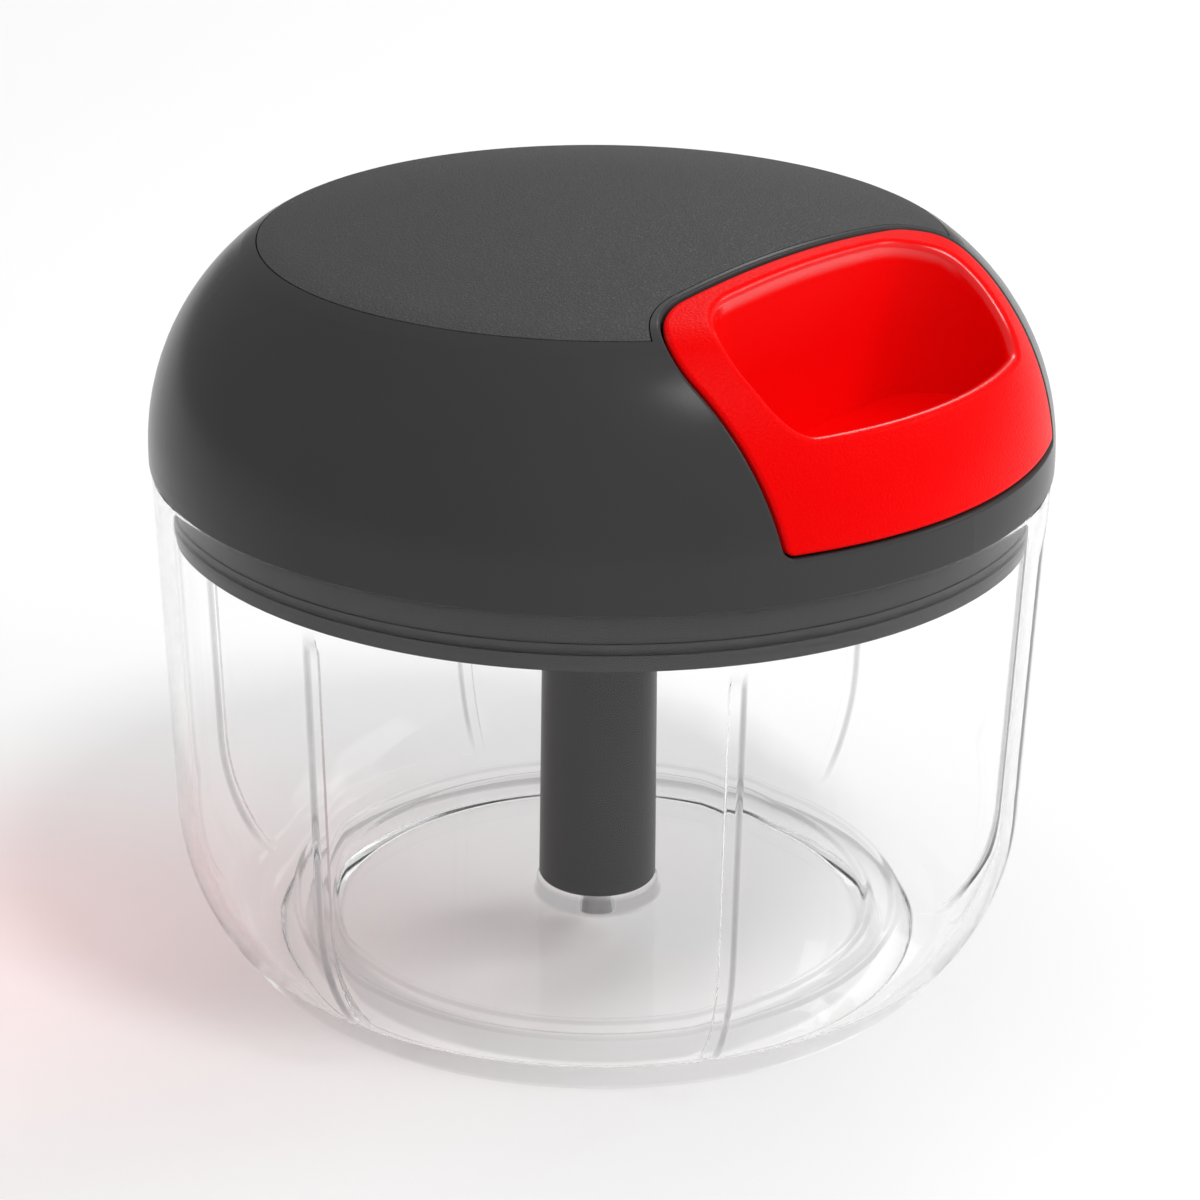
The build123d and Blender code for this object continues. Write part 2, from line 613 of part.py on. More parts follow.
def drive_bush():
    """Flanged bush that the reel's arbor turns in."""
    body = ring(ARBOR_RADIUS + RUN_GAP, HOUSING_BORE - FIT_GAP, DRIVE_BUSH_FOOT, DRIVE_BUSH_TOP)
    return body + ring(ARBOR_RADIUS + RUN_GAP, HOUSING_BORE + BUSH_FLANGE_REACH, PLATE_TOP, DRIVE_BUSH_TOP)


def shaft_seal():
    """Ring below the bush that keeps food out of the lid."""
    return ring(ARBOR_RADIUS, HOUSING_BORE - FIT_GAP, SHAFT_SEAL_FOOT, DRIVE_BUSH_FOOT)


def return_spring():
    """Flat spiral spring of half-circle turns, from the arbor out to the barrel."""
    half = SPRING_THICKNESS / 2
    first = ARBOR_RADIUS + SPRING_GAP + half
    pitch = (BARREL_RADIUS - SPRING_GAP - half - first) / SPRING_TURNS

    def half_turn(k, offset):
        centre = (pitch / 2 * (k % 2), 0)
        return CenterArc(centre, first + k * pitch / 2 + offset, 180 * (k % 2), 180)

    def side(offset):
        return [half_turn(k, offset) for k in range(2 * SPRING_TURNS)]

    last = first + SPRING_TURNS * pitch
    ends = [
        Line((first - half, 0), (first + half, 0)),
        Line((last - half, 0), (last + half, 0)),
    ]
    return extrude(Pos(0, 0, SPRING_FOOT) * make_face(side(half) + side(-half) + ends), SPRING_WIDTH)


def spring_cover():
    """Disc that closes the spring's barrel, with a locating lip."""
    bore = ARBOR_RADIUS + SPRING_GAP
    disc = ring(bore, BARREL_RADIUS + BARREL_WALL, BARREL_TOP, SPRING_COVER_TOP)
    lip_radius = BARREL_RADIUS - FIT_GAP
    return disc + ring(lip_radius - BARREL_WALL, lip_radius, BARREL_TOP - SPRING_COVER_LIP, BARREL_TOP)


def thrust_washer():
    """Washer that the reel turns on."""
    bore = ARBOR_RADIUS + SPRING_GAP
    return ring(bore, bore + WASHER_WIDTH, SPRING_COVER_TOP, WASHER_TOP)


def reel():
    """Cord reel: arbor below, flanged drum, and a journal above."""
    body = ring(0, ARBOR_RADIUS, ARBOR_FOOT, REEL_FOOT)
    body += ring(0, FLANGE_RADIUS, REEL_FOOT, DRUM_FOOT)
    body += ring(0, DRUM_RADIUS, DRUM_FOOT, DRUM_TOP)
    body += ring(0, FLANGE_RADIUS, DRUM_TOP, REEL_TOP)
    body += ring(0, JOURNAL_RADIUS, REEL_TOP, JOURNAL_TOP)
    body -= ring(ARBOR_RADIUS, DRUM_RADIUS - DRUM_WALL, DRUM_FOOT, REEL_TOP)
    groove_foot = BRIDGE_FOOT + BRIDGE_BOSS_HEIGHT + REEL_GAP
    groove_top = groove_foot + CLIP_THICKNESS + FIT_GAP
    body -= ring(JOURNAL_RADIUS - CLIP_GROOVE, FLANGE_RADIUS, groove_foot, groove_top)
    return body - ring(0, SCREW_RADIUS + FIT_GAP, ARBOR_FOOT, ARBOR_FOOT + SCREW_LENGTH)


def reel_clip():
    """Open spring clip in the journal's groove, above the bridge."""
    foot = BRIDGE_FOOT + BRIDGE_BOSS_HEIGHT + REEL_GAP
    bore = JOURNAL_RADIUS - CLIP_GROOVE + FIT_GAP
    body = ring(bore, JOURNAL_RADIUS + CLIP_WIDTH, foot, foot + CLIP_THICKNESS)
    mouth = Pos(-REACH / 2, 0, foot) * Box(REACH, CLIP_MOUTH, 2 * CLIP_THICKNESS)
    return body - mouth


def reel_bridge():
    """Three-armed bridge on the posts, with the reel's upper bearing."""
    plan = Circle(BRIDGE_BOSS_RADIUS)
    for angle in BRIDGE_POST_ANGLES:
        arm = Pos(BRIDGE_POST_CIRCLE / 2, 0) * Rectangle(BRIDGE_POST_CIRCLE, BRIDGE_ARM_WIDTH)
        arm += Pos(BRIDGE_POST_CIRCLE, 0) * Circle(BRIDGE_ARM_WIDTH / 2)
        plan += Rot(0, 0, angle) * arm
    for angle in BRIDGE_POST_ANGLES:
        plan -= Pos(polar(BRIDGE_POST_CIRCLE, angle)) * Circle(SCREW_RADIUS + FIT_GAP)
    body = extrude(Pos(0, 0, BRIDGE_FOOT) * plan, BRIDGE_THICKNESS)
    body += ring(0, BRIDGE_BOSS_RADIUS, BRIDGE_FOOT, BRIDGE_FOOT + BRIDGE_BOSS_HEIGHT)
    return body - ring(0, JOURNAL_RADIUS + RUN_GAP, REEL_TOP, REEL_TOP + REACH)


def bridge_screws():
    """Screws down through the bridge into its posts."""
    one = Rot(180, 0, 0) * screw(SCREW_RADIUS, SCREW_HEAD_RADIUS, SCREW_HEAD_HEIGHT, SCREW_LENGTH)
    return [Pos(polar(BRIDGE_POST_CIRCLE, angle, BRIDGE_TOP)) * one for angle in BRIDGE_POST_ANGLES]


def drive_dog():
    """Hexagonal dog under the reel that turns the column."""
    body = ring(0, ARBOR_RADIUS - SHAFT_SEAL_GAP, DOG_HEX_TOP, DOG_TOP)
    body += hexagon(DOG_ACROSS_FLATS, DOG_FOOT, DOG_HEX_TOP)
    head_room = SCREW_HEAD_HEIGHT + SCREW_HEAD_GAP
    body -= ring(0, SCREW_HEAD_RADIUS + SCREW_HEAD_GAP, DOG_FOOT, DOG_FOOT + head_room)
    return body - ring(0, SCREW_RADIUS + FIT_GAP, DOG_FOOT, DOG_TOP)


def dog_screw():
    """Screw up through the dog into the reel's arbor."""
    seat = DOG_FOOT + SCREW_HEAD_HEIGHT + SCREW_HEAD_GAP
    length = DOG_TOP - seat + SCREW_LENGTH - SCREW_HEAD_GAP
    return Pos(0, 0, seat) * screw(SCREW_RADIUS, SCREW_HEAD_RADIUS, SCREW_HEAD_HEIGHT, length)


def two_arcs(start, start_direction, end, end_direction):
    """Two arcs in space from one point and direction to another, tangent where they meet."""
    chord = end - start
    both = start_direction + end_direction
    curl = 2 * (1 - start_direction.dot(end_direction))
    lean = chord.dot(both)
    reach = (-lean + (lean * lean + curl * chord.dot(chord)) ** 0.5) / curl
    first = start + start_direction * reach
    second = end - end_direction * reach
    middle = (first + second) * 0.5
    return [
        TangentArc(start, middle, tangent=start_direction),
        TangentArc(middle, end, tangent=(second - first).normalized()),
    ]


def wound_cord():
    """Cord on the drum: one layer that climbs to the height where the cord leaves."""
    quarters = 4 * CORD_TURNS
    rise = CORD_PITCH / (2 * pi * WINDING_RADIUS)

    def place(k):
        height = CORD_HEIGHT - (quarters - k) * CORD_PITCH / 4
        return polar(WINDING_RADIUS, CORD_LEAVES + 90 * (k - quarters), height)

    def direction(k):
        level = polar(1.0, CORD_LEAVES + 90 * (k - quarters) + 90)
        return Vector(level.X, level.Y, rise if k < quarters else 0.0).normalized()

    arcs = []
    for k in range(quarters):
        arcs += two_arcs(place(k), direction(k), place(k + 1), direction(k + 1))
    points = [arc @ share for arc in arcs for share in (0, 1 / 3, 2 / 3)]
    per_turn = len(points) // CORD_TURNS
    apart = [
        (points[i] - points[j]).length
        for i in range(len(points))
        for j in range(i + per_turn // 2, len(points))
    ]
    print("wound cord least gap to itself", round(min(apart) - 2 * CORD_RADIUS, 2))
    section = Plane(origin=place(0), z_dir=direction(0)) * Circle(CORD_RADIUS)
    return sweep(section, path=Wire(arcs))


def pull_cord():
    """The cord's run from the drum, bent at the guide, through the eyelet to the handle's anchor."""
    start = polar(WINDING_RADIUS, CORD_LEAVES, CORD_HEIGHT)
    corner = Vector(CORD_GUIDE, 0, CORD_HEIGHT)
    end = Vector(BACK_PLATE_FACE + RECESS_GAP + ANCHOR_LENGTH, 0, CORD_HEIGHT)
    turn = asin(WINDING_RADIUS / CORD_GUIDE)
    bend = CORD_BEND_SHARE * (end - corner).length / tan(turn / 2)
    print("pull cord bend radius", round(bend, 2))
    path = FilletPolyline(start, corner, end, radius=bend)
    section = Plane(origin=start, z_dir=(corner - start).normalized()) * Circle(CORD_RADIUS)
    return sweep(section, path=path)


def cord_eyelet():
    """Flanged eyelet in the bay's back wall that the cord runs through."""
    wall = ring(0, CORD_BORE + EYELET_WALL - FIT_GAP, 0, BAY_WALL)
    flange_radius = CORD_BORE + EYELET_WALL + EYELET_FLANGE
    body = wall + ring(0, flange_radius, -EYELET_FLANGE_THICKNESS, 0)
    body -= ring(0, CORD_BORE, -EYELET_FLANGE_THICKNESS, BAY_WALL)
    return along_x(body, BAY_BACK - BAY_WALL)


PIECES = {
    "bowl": bowl,
    "pivot_pin": pivot_pin,
    "drive_column": drive_column,
    "column_bush": column_bush,
    "lid_cover": lid_cover,
    "top_panel": top_panel,
    "lid_base": lid_base,
    "lid_seal": lid_seal,
    "lid_screws": lid_screws,
    "drive_bush": drive_bush,
    "shaft_seal": shaft_seal,
    "return_spring": return_spring,
    "spring_cover": spring_cover,
    "thrust_washer": thrust_washer,
    "reel": reel,
    "reel_clip": reel_clip,
    "reel_bridge": reel_bridge,
    "bridge_screws": bridge_screws,
    "drive_dog": drive_dog,
    "dog_screw": dog_screw,
    "wound_cord": wound_cord,
    "pull_cord": pull_cord,
    "cord_eyelet": cord_eyelet,
    "handle_shell": handle_shell,
    "handle_back": handle_back,
    "handle_screws": handle_screws,
    "cord_anchor": cord_anchor,
}

os.makedirs("parts", exist_ok=True)
for name, make in PIECES.items():
    made = make()
    shape = Compound(children=made) if isinstance(made, list) else made
    export_step(shape, f"parts/{name}.step")
    print(name, len(shape.solids()), "solids", round(shape.volume, 1), "mm3")
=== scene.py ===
# %% [markdown]
# # Dressing a pull-cord food chopper
#
# The chopper is a clear ribbed bowl under a dark domed lid, with a red handle that pulls a cord out of the
# lid. Its solids come ready made and stay where they are. This lesson gives each of them a finish, makes
# the pieces that need a finer surface with numpy, and sets up the light and the camera of a small product
# portrait.

# %% Load the solids
import json
import math

import bmesh
import bpy
import numpy as np
from mathutils import Matrix, Vector


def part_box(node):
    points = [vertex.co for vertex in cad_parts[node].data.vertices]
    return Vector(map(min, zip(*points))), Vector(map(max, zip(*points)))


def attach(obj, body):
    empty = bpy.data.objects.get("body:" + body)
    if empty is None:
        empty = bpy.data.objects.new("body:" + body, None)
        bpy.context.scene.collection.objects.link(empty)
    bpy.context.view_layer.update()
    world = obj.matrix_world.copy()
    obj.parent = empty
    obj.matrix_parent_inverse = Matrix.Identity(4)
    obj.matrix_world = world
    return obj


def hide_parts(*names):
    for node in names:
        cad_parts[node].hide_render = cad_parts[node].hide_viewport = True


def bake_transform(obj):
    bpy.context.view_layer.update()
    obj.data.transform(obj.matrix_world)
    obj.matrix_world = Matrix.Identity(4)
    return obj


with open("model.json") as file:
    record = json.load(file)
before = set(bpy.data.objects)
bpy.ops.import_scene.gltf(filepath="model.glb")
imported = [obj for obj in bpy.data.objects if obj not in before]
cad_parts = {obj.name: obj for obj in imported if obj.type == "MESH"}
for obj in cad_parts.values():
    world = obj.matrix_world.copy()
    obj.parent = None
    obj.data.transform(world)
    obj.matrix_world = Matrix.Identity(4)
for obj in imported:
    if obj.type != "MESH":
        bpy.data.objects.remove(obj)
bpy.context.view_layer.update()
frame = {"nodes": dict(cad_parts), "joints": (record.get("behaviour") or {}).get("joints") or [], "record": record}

MM = 0.001

# %% [markdown]
# ## The camera
#
# The portrait looks down on the chopper from about half a metre, with the handle at the right. The lens is
# long, so the ellipses of rim and foot are almost parallel. A camera can be aimed with a constraint, but
# here its turn is written out as three plain rotations: round the table, down towards it, and a small roll.

# %% Place the camera
CAMERA_PLACE = Vector((311.4, -364.0, 256.0)) * MM
CAMERA_TURN = math.radians(40.55)
CAMERA_PITCH = math.radians(90 - 22.42)
CAMERA_ROLL = math.radians(0.615)
CAMERA_LENS = 97.87
CAMERA_SENSOR = 36.0
CAMERA_NEAR = 0.01

camera = bpy.data.objects.new("camera", bpy.data.cameras.new("camera"))
camera.data.lens = CAMERA_LENS
camera.data.sensor_width = CAMERA_SENSOR
camera.data.clip_start = CAMERA_NEAR
camera.matrix_world = (
    Matrix.Translation(CAMERA_PLACE)
    @ Matrix.Rotation(CAMERA_TURN, 4, "Z")
    @ Matrix.Rotation(CAMERA_PITCH, 4, "X")
    @ Matrix.Rotation(CAMERA_ROLL, 4, "Z")
)
bpy.context.scene.collection.objects.link(camera)
bpy.context.scene.camera = camera
print("camera distance", round(CAMERA_PLACE.length, 3), "m, lens", CAMERA_LENS, "mm")

# %% [markdown]
# ## A small language for finishes
#
# A finish is a tree of nodes, and a tree is easier to read as a sum. `Wire` wraps one socket, so that
# `1 - mask` adds the Math node that it needs. `Tree` adds any other node by its type, and `Finish` is the
# tree of one material.

# %% Wires and trees
class Wire:
    """One output socket of a tree, which can be used in sums."""

    def __init__(self, tree, socket):
        self.tree = tree
        self.socket = socket

    def __add__(self, other):
        return self.tree.maths("ADD", self, other)

    def __sub__(self, other):
        return self.tree.maths("SUBTRACT", self, other)

    def __rsub__(self, other):
        return self.tree.maths("SUBTRACT", other, self)

    def __mul__(self, other):
        return self.tree.maths("MULTIPLY", self, other)

    def __pow__(self, other):
        return self.tree.maths("POWER", self, other)

    __radd__ = __add__
    __rmul__ = __mul__


class Tree:
    """A node tree that nodes are added to by their type."""

    def __init__(self, graph):
        self.graph = graph

    def node(self, kind, settings=None, inputs=None, output=0):
        """Add a node: its settings first, then its sockets' values or wires. Gives one output as a wire."""
        made = self.graph.nodes.new(kind)
        for key, value in (settings or {}).items():
            setattr(made, key, value)
        for key, value in (inputs or {}).items():
            self.feed(made.inputs[key], value)
        return Wire(self, made.outputs[output])

    def feed(self, socket, value):
        """Link a wire to a socket, or set its value."""
        if isinstance(value, Wire):
            self.graph.links.new(value.socket, socket)
        else:
            socket.default_value = value

    def maths(self, operation, *terms):
        """A Math node of one or two terms."""
        return self.node("ShaderNodeMath", {"operation": operation}, dict(enumerate(terms)))

    def vector_maths(self, operation, *terms, output="Vector"):
        """A Vector Math node. A length or a distance is its output Value."""
        return self.node("ShaderNodeVectorMath", {"operation": operation}, dict(enumerate(terms)), output)

    def split(self, vector):
        """The x, y and z of a vector as three wires."""
        parts = self.node("ShaderNodeSeparateXYZ", None, {0: vector}).socket.node.outputs
        return [Wire(self, part) for part in parts]

    def ray(self, kind):
        """1 for rays of one kind, such as Camera or Shadow, and 0 for all others."""
        return self.node("ShaderNodeLightPath", output=f"Is {kind} Ray")


print("operators:", [name for name in vars(Wire) if name.startswith("__r")])

# %% Finishes
class Finish(Tree):
    """One material with its Principled shader. Constants are set on the shader's own sockets."""

    def __init__(self, name, **constants):
        self.material = bpy.data.materials.new(name)
        self.material.use_nodes = True
        super().__init__(self.material.node_tree)
        self.shader = self.graph.nodes["Principled BSDF"]
        for socket, value in constants.items():
            self.set(socket.replace("_", " ").title().replace("Ior", "IOR"), value)

    def set(self, socket, value):
        self.feed(self.shader.inputs[socket], value)

    def place(self):
        """Object coordinates, in metres: every piece sits at the origin, so a pattern stays on it."""
        return self.node("ShaderNodeTexCoord", output="Object")

    def noise(self, scale, detail=2.0, where=None, output=0):
        """Cloudy values round one half, with features about one over the scale in metres."""
        inputs = {"Vector": where or self.place(), "Scale": scale, "Detail": detail}
        return self.node("ShaderNodeTexNoise", None, inputs, output)

    def blend_colours(self, factor, first, second):
        """Mix two colours by a value from 0 to 1."""
        inputs = {0: factor, 6: (*first, 1), 7: (*second, 1)}
        return self.node("ShaderNodeMix", {"data_type": "RGBA"}, inputs, output=2)

    def ease(self, value, low, high):
        """0 below low, 1 above high, and a smooth step between them."""
        inputs = {"Value": value, "From Min": low, "From Max": high}
        return self.node("ShaderNodeMapRange", {"interpolation_type": "SMOOTHSTEP"}, inputs)

    def bump(self, height, distance):
        """Tilt the normals as if the surface rose by height times distance."""
        inputs = {"Height": height, "Distance": distance, "Strength": 1.0}
        self.set("Normal", self.node("ShaderNodeBump", None, inputs))

    def wear(self, shade, roughness, spread, drift, scale):
        """Faint cloudy changes of colour and gloss, which every moulded or handled surface has."""
        cloud = self.noise(scale)
        dark = [channel * (1 - spread) for channel in shade]
        light = [min(1.0, channel * (1 + spread)) for channel in shade]
        self.set("Base Color", self.blend_colours(cloud, dark, light))
        self.set("Roughness", roughness + drift * (cloud - 0.5))

    def let_through(self, factor):
        """Mix the shader with a plain transparent one, which bends no light, by a value from 0 to 1."""
        own = Wire(self, self.shader.outputs[0])
        through = self.node("ShaderNodeBsdfTransparent")
        mixed = self.node("ShaderNodeMixShader", None, {0: factor, 1: own, 2: through})
        self.feed(self.graph.nodes["Material Output"].inputs["Surface"], mixed)


print("a finish can", [name for name in vars(Finish) if not name.startswith("_")])

# %% [markdown]
# ## Dark satin plastic
#
# The dome, the skirt and the column are injection moulded in almost one dark grey. The skirt and the column
# are painted a shade lighter than the dome, to make up for the shade under the lid. The plastic is smooth
# enough to mirror a soft box with a blurred edge. A flat grey would look like paint, so the gloss drifts a
# little and a very fine ripple breaks the highlights up.

# %% Satin plastic
DOME_GREY = (0.046, 0.046, 0.0465)
# Painted light: the column and skirt greys are lighter than the dome's to make up for the shade under the lid.
COLUMN_GREY_PAINTED_LIGHTER = (0.055, 0.055, 0.0555)
SKIRT_GREY_PAINTED_LIGHTER = (0.062, 0.062, 0.0625)
INNER_GREY = (0.03, 0.03, 0.031)
RIPPLE_SCALE = 1900.0
RIPPLE_DETAIL = 3.0


def satin_plastic(name, shade, roughness, ripple):
    """Moulded plastic: clouded colour and gloss, with a fine ripple in its surface, in metres."""
    finish = Finish(name, specular_ior_level=0.1)
    finish.wear(shade, roughness, spread=0.06, drift=0.08, scale=45.0)
    finish.bump(finish.noise(RIPPLE_SCALE, RIPPLE_DETAIL), ripple)
    return finish.material


satin_dome = satin_plastic("satin_dome", DOME_GREY, roughness=0.24, ripple=0.004 * MM)
# The column and skirt finishes carry that painted light: a lighter grey in place of the shade they sit in.
satin_column_painted_lighter = satin_plastic("satin_column_painted_lighter", COLUMN_GREY_PAINTED_LIGHTER, roughness=0.34, ripple=0.001 * MM)
satin_skirt_painted_lighter = satin_plastic("satin_skirt_painted_lighter", SKIRT_GREY_PAINTED_LIGHTER, roughness=0.4, ripple=0.001 * MM)
satin_inner = satin_plastic("satin_inner", INNER_GREY, roughness=0.3, ripple=0.008 * MM)
print("satin plastics:", satin_dome.name, satin_column_painted_lighter.name, satin_skirt_painted_lighter.name, satin_inner.name)

# %% [markdown]
# ## The grained panel
#
# A soft panel is let into the crown. Its skin has a fine leather grain: small rounded cells with creases
# between them. Voronoi cells give the creases and noise bends them, so that no cell looks drawn with a
# ruler.

# %% Grained panel
PANEL_GREY = (0.074, 0.074, 0.075)
GRAIN_CELLS = 1500.0
GRAIN_HEIGHT = 0.12 * MM
CREASE_WIDTH = 0.3
BEND_SCALE = 7000.0
BEND_SHARE = 0.0006
PORE_SCALE = 3800.0
PORE_SHARE = 0.4


def grained_panel():
    """Leather grain: the distance to the crease between bent cells, raised by a tenth of a millimetre."""
    finish = Finish("grained_panel", specular_ior_level=0.35)
    finish.wear(PANEL_GREY, roughness=0.52, spread=0.05, drift=0.08, scale=60.0)
    bend = {0: BEND_SHARE, 4: finish.place(), 5: finish.noise(BEND_SCALE, output="Color")}
    bent = finish.node("ShaderNodeMix", {"data_type": "VECTOR"}, bend, output=1)
    grid = {"Vector": bent, "Scale": GRAIN_CELLS}
    cells = finish.node("ShaderNodeTexVoronoi", {"feature": "DISTANCE_TO_EDGE"}, grid)
    pores = PORE_SHARE * finish.noise(PORE_SCALE)
    finish.bump(finish.ease(cells, 0.0, CREASE_WIDTH) + pores, GRAIN_HEIGHT)
    return finish.material


panel_skin = grained_panel()
print("panel grain cells", round(1000 / GRAIN_CELLS, 2), "mm across")

# %% [markdown]
# ## The red handle
#
# The handle is one saturated red. Its outer face has the sparkle of a fine spark-eroded mould, the rounded
# edges are polished by use, and the pocket is plain and a little duller. All are one material: the depth
# below the dome's outside tells them apart. The dome is where a large ring and a shallow ball overlap, so
# the depth is the smaller of the depths below these two.

# %% Red plastic
HANDLE_RED = (0.83, 0.0008, 0.001)
RED_DRIFT = 0.96
SHOULDER_REACH = 0.032
SHOULDER_HEIGHT = 0.0866
SHOULDER_RADIUS = 0.038
CROWN_CENTRE = (0, 0, -0.0896)
CROWN_RADIUS = 0.2149
FACE_DEPTH = (0.15 * MM, 0.7 * MM)
POCKET_DEPTH = (1.4 * MM, 2.8 * MM)
POLISH = 0.18
FACE_DULL = 0.14
POCKET_DULL = 0.32
GLOSS_DRIFT = 0.05
SPARKLE_SCALE = 2600.0
SPARKLE_HEIGHT = 0.1 * MM


def red_plastic():
    """Red with a grained face, polished edges and a duller pocket, by the depth below the dome's outside."""
    finish = Finish("red_plastic", specular_ior_level=0.03, coat_roughness=0.24, coat_ior=1.6)
    place = finish.place()
    aside = finish.vector_maths("MULTIPLY", place, (1, 1, 0))
    radius = finish.vector_maths("LENGTH", aside, output="Value")
    height = finish.split(place)[2]
    shoulder = SHOULDER_RADIUS - ((radius - SHOULDER_REACH) ** 2 + (height - SHOULDER_HEIGHT) ** 2) ** 0.5
    crown = CROWN_RADIUS - finish.vector_maths("DISTANCE", place, CROWN_CENTRE, output="Value")
    depth = finish.maths("MINIMUM", shoulder, crown)
    face = 1 - finish.ease(depth, *FACE_DEPTH)
    inside = finish.ease(depth, *POCKET_DEPTH)
    cloud = finish.noise(50.0)
    finish.set("Base Color", finish.blend_colours(cloud, [RED_DRIFT * c for c in HANDLE_RED], HANDLE_RED))
    finish.set("Roughness", POLISH + FACE_DULL * face + POCKET_DULL * inside + GLOSS_DRIFT * (cloud - 0.5))
    finish.set("Coat Weight", (1 - face) * (1 - inside))
    finish.bump(face * finish.noise(SPARKLE_SCALE), SPARKLE_HEIGHT)
    return finish.material


red_skin = red_plastic()
print("red handle:", red_skin.name)

# %% [markdown]
# ## Clear plastic
#
# The bowl is clear and polished inside and out. With the index of real plastic, each rib and ring turns
# black where light is caught in the wall. The real bowl shows hardly any of that, so the index is low here,
# and a thin coat gives the gloss. Ribs, rings, boss and foot still show fine grey lines, which are painted
# shade in the base colour, standing in for the light that the real wall bends away. The bowl's own
# attribute `steep` says where: it tints these places with that painted shade and makes them duller below a
# stronger coat. Lamps have to light the table through the wall, which refraction alone resolves slowly, so
# shadow and diffuse rays pass straight through. Steep places hold a part of them back.

# %% Clear plastic
CLEAR_INDEX = 1.08
CLEAR_SHADE = (1, 1, 1)
# Painted shade: the grey that the base colour takes where the bowl is steep, in place of its dark refraction.
STEEP_PAINTED_SHADE = (0.35, 0.35, 0.36)
STEEP_ROUGHNESS = 0.2
WALL_COAT = 0.16
STEEP_COAT = 0.5
STEEP_SHADOW = 0.6


def clear_plastic():
    """Clear refracting plastic that lets the lamps through, with painted grey shade lines where it is steep."""
    finish = Finish("clear_plastic", ior=CLEAR_INDEX, transmission_weight=1.0, coat_roughness=0.04)
    steep = finish.node("ShaderNodeAttribute", {"attribute_name": "steep"}, output="Fac")
    # Painted shade lines: steep places are tinted grey in the base colour.
    finish.set("Base Color", finish.blend_colours(steep, CLEAR_SHADE, STEEP_PAINTED_SHADE))
    finish.set("Roughness", STEEP_ROUGHNESS * steep)
    finish.set("Coat Weight", WALL_COAT + STEEP_COAT * steep)
    unseen = finish.maths("MAXIMUM", finish.ray("Shadow"), finish.ray("Diffuse"))
    finish.let_through(unseen * (1 - STEEP_SHADOW * steep))
    return finish.material


clear_skin = clear_plastic()
print("clear plastic, index", CLEAR_INDEX)

# %% [markdown]
# ## Finishes inside the lid
#
# The drive has few colours: natural white plastic where parts run on each other, dark rubber in the seals,
# bright steel in pins, screws and springs, and a braided cord.

# %% Running plastic and rubber
RUNNING_WHITE = (0.72, 0.72, 0.69)
SEAL_GREY = (0.052, 0.052, 0.053)
MOULD_RIPPLE = 0.01 * MM


def running_plastic():
    """Natural white bearing plastic with a slightly waxy surface."""
    finish = Finish("running_plastic", specular_ior_level=0.4)
    finish.wear(RUNNING_WHITE, roughness=0.42, spread=0.04, drift=0.1, scale=80.0)
    finish.bump(finish.noise(1500.0), MOULD_RIPPLE)
    return finish.material


def seal_rubber():
    """Dark silicone, dull, with a dusty cloud in its gloss."""
    finish = Finish("seal_rubber", specular_ior_level=0.25)
    finish.wear(SEAL_GREY, roughness=0.6, spread=0.1, drift=0.15, scale=120.0)
    finish.bump(finish.noise(2400.0, 4.0), MOULD_RIPPLE)
    return finish.material


print("mould ripple", round(MOULD_RIPPLE / MM, 3), "mm")

# %% Steel
STEEL_DARK = (0.5, 0.5, 0.51)
STEEL_LIGHT = (0.66, 0.66, 0.67)
BRUSH_STRETCH = (1, 1, 40)
BRUSH_HEIGHT = 0.004 * MM


def bright_steel():
    """Turned steel: fine lines round the axis come from noise that is stretched flat."""
    finish = Finish("bright_steel", metallic=1.0)
    lines = finish.node("ShaderNodeMapping", None, {"Vector": finish.place(), "Scale": BRUSH_STRETCH})
    brushed = finish.noise(300.0, 3.0, lines)
    finish.set("Base Color", finish.blend_colours(brushed, STEEL_DARK, STEEL_LIGHT))
    finish.set("Roughness", 0.24 + 0.2 * brushed)
    finish.bump(brushed, BRUSH_HEIGHT)
    return finish.material


print("steel lines are stretched by", BRUSH_STRETCH)

# %% Braided cord
BRAID_PITCH = 2.2 * MM
BRAID_STRANDS = 4
BRAID_HEIGHT = 0.2 * MM
CORD_DARK = (0.42, 0.42, 0.4)
CORD_LIGHT = (0.74, 0.74, 0.71)


def braided_cord():
    """Braid from two sets of strands that run round the cord in opposite ways, read from its length and turn.

    Each set is the sine of the turns along the cord plus or minus the strands round it. The weave is the
    product of the two.
    """
    finish = Finish("braided_cord", specular_ior_level=0.2, sheen_weight=0.3)
    along, around, _ = finish.split(finish.node("ShaderNodeUVMap", {"uv_map": "UVMap"}))

    def strand(way):
        return finish.maths("SINE", 2 * math.pi * (along * (1 / BRAID_PITCH) + way * BRAID_STRANDS * around))

    weave = 0.5 + 0.5 * strand(1) * strand(-1)
    finish.set("Base Color", finish.blend_colours(weave, CORD_DARK, CORD_LIGHT))
    finish.set("Roughness", 0.85 - 0.15 * weave)
    finish.bump(weave, BRAID_HEIGHT)
    return finish.material


print("braid pitch", round(BRAID_PITCH / MM, 2), "mm")

# %% [markdown]
# ## Dressing the solids
#
# Most solids are already the shape of the real piece, down to the blended rim of the finger pocket. They
# only need their finish. The record names a slot for each of them, and three dark pieces have a grey of their
# own. The skirt's and the column's greys are painted lighter than the dome's, to make up for the shade under
# the lid.

# %% Give each solid its finish
FINISHES = {
    "clear_plastic": clear_skin,
    "dark_plastic": satin_inner,
    "soft_panel": panel_skin,
    "red_plastic": red_skin,
    "white_plastic": running_plastic(),
    "seal_rubber": seal_rubber(),
    "steel": bright_steel(),
    "cord_fabric": braided_cord(),
}
OWN_FINISHES = {"lid_cover": satin_dome, "drive_column": satin_column_painted_lighter, "lid_base": satin_skirt_painted_lighter}


